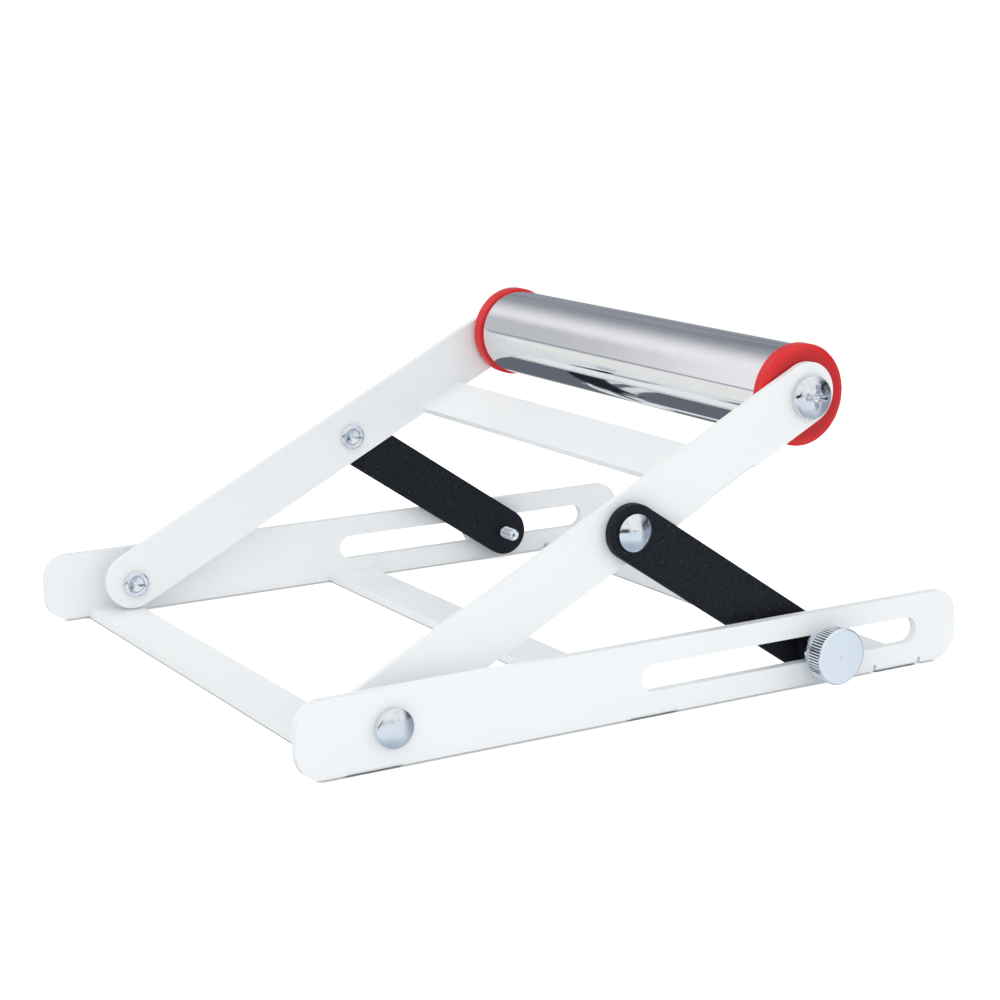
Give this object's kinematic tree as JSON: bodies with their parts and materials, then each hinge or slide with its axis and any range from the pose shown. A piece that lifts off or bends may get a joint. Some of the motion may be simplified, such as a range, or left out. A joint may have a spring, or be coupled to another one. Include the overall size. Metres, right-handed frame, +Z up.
{
  "type": "miter saw stand",
  "caption": "Low folding roller stand for a miter saw: sheet base, swing frame with a roller at its tip, and two struts clamped in slots by thumb screws.",
  "frame": {"origin": "middle of the base, on the surface that it stands on", "axes": "+X from the pivot end of the base to its slot end, +Y from the front side plate to the back one, +Z up"},
  "size_m": [0.316, 0.2924, 0.1409],
  "materials": {
    "white_paint": "satin powder coat",
    "black_paint": "fine textured powder coat",
    "zinc": "bright zinc plate",
    "chrome": "polished",
    "red_plastic": "smooth",
    "bearing_steel": "ground",
    "cage_brass": "pressed sheet"
  },
  "bodies": {
    "base": {"base_frame": "white_paint", "front_pivot_rivet": "zinc", "front_pivot_spacer": "zinc", "back_pivot_rivet": "zinc", "back_pivot_spacer": "zinc"},
    "swing_frame": {"swing_frame": "white_paint", "roller_axle": "zinc", "front_strut_rivet": "zinc", "front_strut_washer": "zinc", "front_axle_screw": "chrome", "front_axle_spacer": "zinc", "front_bearing_inner_ring": "bearing_steel", "back_strut_rivet": "zinc", "back_strut_washer": "zinc", "back_axle_screw": "chrome", "back_axle_spacer": "zinc", "back_bearing_inner_ring": "bearing_steel"},
    "roller": {"roller_tube": "chrome", "front_end_cap": "red_plastic", "front_bearing_outer_ring": "bearing_steel", "back_end_cap": "red_plastic", "back_bearing_outer_ring": "bearing_steel"},
    "front_ball_set": {"front_bearing_balls": "bearing_steel", "front_bearing_cage": "cage_brass"},
    "front_strut": {"front_strut": "black_paint", "front_clamp_spacer": "black_paint"},
    "front_clamp_washer": {"front_clamp_washer": "zinc"},
    "front_thumb_screw": {"front_thumb_screw": "zinc"},
    "back_ball_set": {"back_bearing_balls": "bearing_steel", "back_bearing_cage": "cage_brass"},
    "back_strut": {"back_strut": "black_paint", "back_clamp_spacer": "black_paint"},
    "back_clamp_washer": {"back_clamp_washer": "zinc"},
    "back_thumb_screw": {"back_thumb_screw": "zinc"}
  },
  "joints": [
    {"name": "lift", "type": "hinge", "parent": "base", "child": "swing_frame", "pos_m": [-0.1186, 0, 0.01617], "axis": [0, -1, 0], "range_deg": [-20.4, 22.85]},
    {"name": "roller_spin", "type": "hinge", "parent": "swing_frame", "child": "roller", "pos_m": [0.08509, 0, 0.11951], "axis": [0, 1, 0], "continuous": true},
    {"name": "front_ball_orbit", "type": "hinge", "parent": "swing_frame", "child": "front_ball_set", "pos_m": [0.08509, -0.1124, 0.11951], "axis": [0, 1, 0], "continuous": true},
    {"name": "front_strut_swing", "type": "hinge", "parent": "swing_frame", "child": "front_strut", "pos_m": [-0.00445, -0.1227, 0.07408], "axis": [0, 1, 0], "range_deg": [-47.2, 52.8]},
    {"name": "front_clamp_travel", "type": "slide", "parent": "front_strut", "child": "front_clamp_washer", "axis": [0, -1, 0], "range_m": [0, 0.002]},
    {"name": "front_knob_turn", "type": "hinge", "parent": "front_clamp_washer", "child": "front_thumb_screw", "pos_m": [0.08444, -0.14, 0.0147], "axis": [0, -1, 0], "range_deg": [0, 720]},
    {"name": "back_ball_orbit", "type": "hinge", "parent": "swing_frame", "child": "back_ball_set", "pos_m": [0.08509, 0.1124, 0.11951], "axis": [0, 1, 0], "continuous": true},
    {"name": "back_strut_swing", "type": "hinge", "parent": "swing_frame", "child": "back_strut", "pos_m": [-0.00445, 0.1227, 0.07408], "axis": [0, 1, 0], "range_deg": [-47.2, 52.8]},
    {"name": "back_clamp_travel", "type": "slide", "parent": "back_strut", "child": "back_clamp_washer", "axis": [0, 1, 0], "range_m": [0, 0.002]},
    {"name": "back_knob_turn", "type": "hinge", "parent": "back_clamp_washer", "child": "back_thumb_screw", "pos_m": [0.08444, 0.14, 0.0147], "axis": [0, 1, 0], "range_deg": [0, 720]}
  ],
  "couplings": [
    {"joint": "front_strut_swing", "follows": "lift", "ratio": 2.3},
    {"joint": "front_ball_orbit", "follows": "roller_spin", "ratio": 0.597},
    {"joint": "front_knob_turn", "follows": "front_clamp_travel", "rad_per_m": 6283.2},
    {"joint": "back_strut_swing", "follows": "lift", "ratio": 2.3},
    {"joint": "back_ball_orbit", "follows": "roller_spin", "ratio": 0.597},
    {"joint": "back_knob_turn", "follows": "back_clamp_travel", "rad_per_m": 6283.2}
  ]
}
